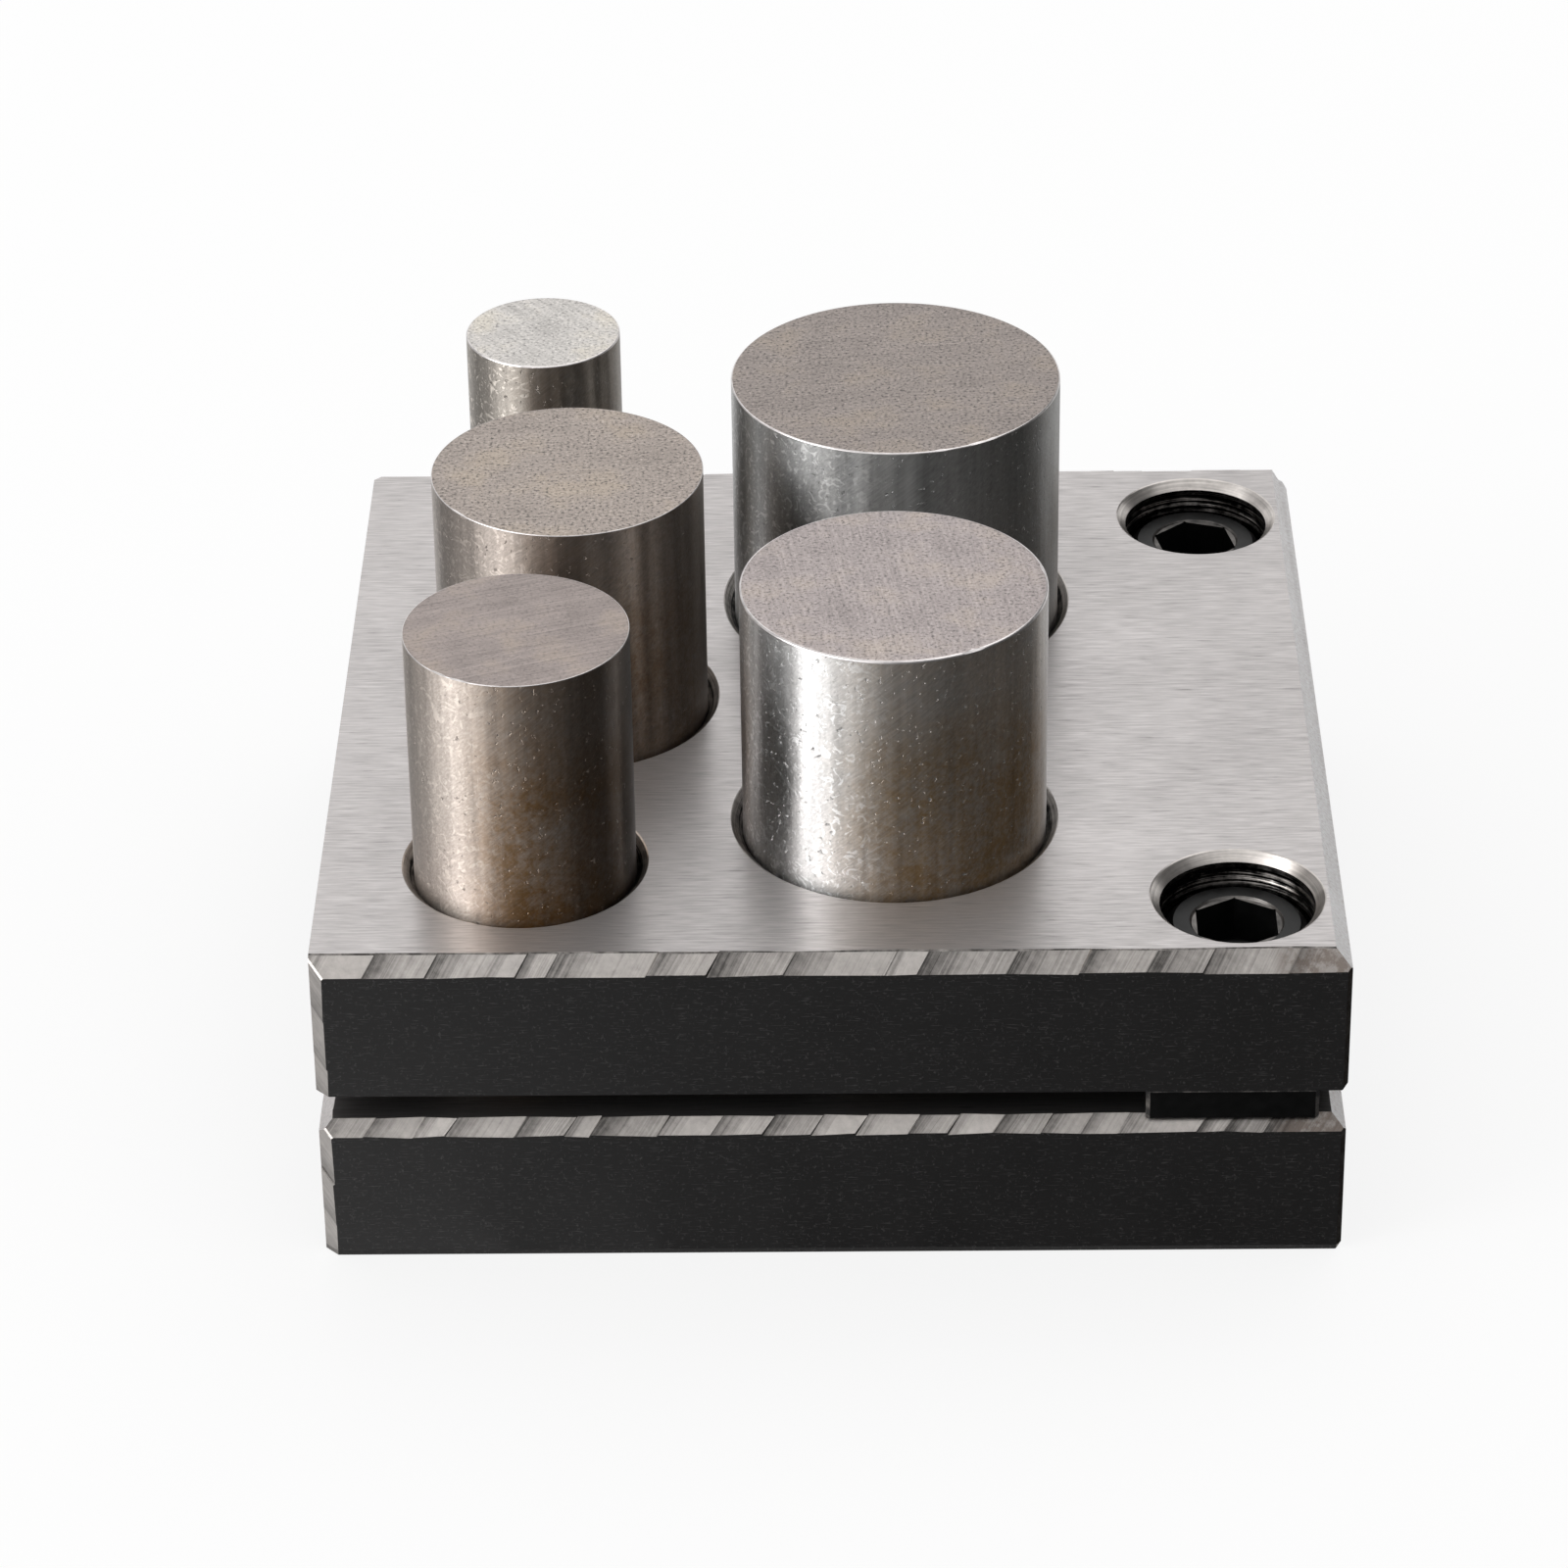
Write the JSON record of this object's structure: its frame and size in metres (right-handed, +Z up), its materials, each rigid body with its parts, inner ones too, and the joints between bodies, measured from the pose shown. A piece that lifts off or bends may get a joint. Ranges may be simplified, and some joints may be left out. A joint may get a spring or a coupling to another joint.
{
  "type": "jewelers disc cutter",
  "caption": "Disc cutter for sheet metal: round punches stand in a guide plate over a die plate, which a spacer bar and recessed socket screws hold apart.",
  "frame": {"origin": "middle of the underside of the lower plate, which is the bottom centre of the bounding box", "axes": "+Z up along the punches, +X to the right towards the spacer bar and screws, -Y to the front"},
  "size_m": [0.1016, 0.1016, 0.0614],
  "materials": {
    "lower_plate_steel": "black oxide scale on the sides, ground top face, milled chamfers",
    "upper_plate_steel": "ground top face, black oxide scale on the sides, milled chamfers",
    "spacer_steel": "black oxide, worn edges",
    "dowel_steel": "ground",
    "screw_steel": "black oxide, oiled",
    "punch_steel": "ground and polished, with heat tint and oil stains"
  },
  "bodies": {
    "die_set": {"lower_plate": "lower_plate_steel", "upper_plate": "upper_plate_steel", "spacer_bar": "spacer_steel", "dowel_pin_front": "dowel_steel", "dowel_pin_back": "dowel_steel"},
    "cap_screw_front": {"cap_screw_front": "screw_steel"},
    "cap_screw_back": {"cap_screw_back": "screw_steel"},
    "punch_front_left": {"punch_front_left": "punch_steel"},
    "punch_front_right": {"punch_front_right": "punch_steel"},
    "punch_middle_left": {"punch_middle_left": "punch_steel"},
    "punch_back_left": {"punch_back_left": "punch_steel"},
    "punch_back_right": {"punch_back_right": "punch_steel"}
  },
  "joints": [
    {"name": "punch_front_left_slide", "type": "slide", "parent": "die_set", "child": "punch_front_left", "axis": [0, 0, 1], "range_m": [0, 0.033]},
    {"name": "punch_front_right_slide", "type": "slide", "parent": "die_set", "child": "punch_front_right", "axis": [0, 0, 1], "range_m": [0, 0.033]},
    {"name": "punch_middle_left_slide", "type": "slide", "parent": "die_set", "child": "punch_middle_left", "axis": [0, 0, 1], "range_m": [0, 0.033]},
    {"name": "punch_back_left_slide", "type": "slide", "parent": "die_set", "child": "punch_back_left", "axis": [0, 0, 1], "range_m": [0, 0.033]},
    {"name": "punch_back_right_slide", "type": "slide", "parent": "die_set", "child": "punch_back_right", "axis": [0, 0, 1], "range_m": [0, 0.033]},
    {"name": "cap_screw_front_turn", "type": "hinge", "parent": "die_set", "child": "cap_screw_front", "pos_m": [0.0402, -0.0395, 0.0317], "axis": [0, 0, 1], "range_deg": [0, 360]},
    {"name": "cap_screw_back_turn", "type": "hinge", "parent": "die_set", "child": "cap_screw_back", "pos_m": [0.0402, 0.0385, 0.0317], "axis": [0, 0, 1], "range_deg": [0, 360]}
  ]
}
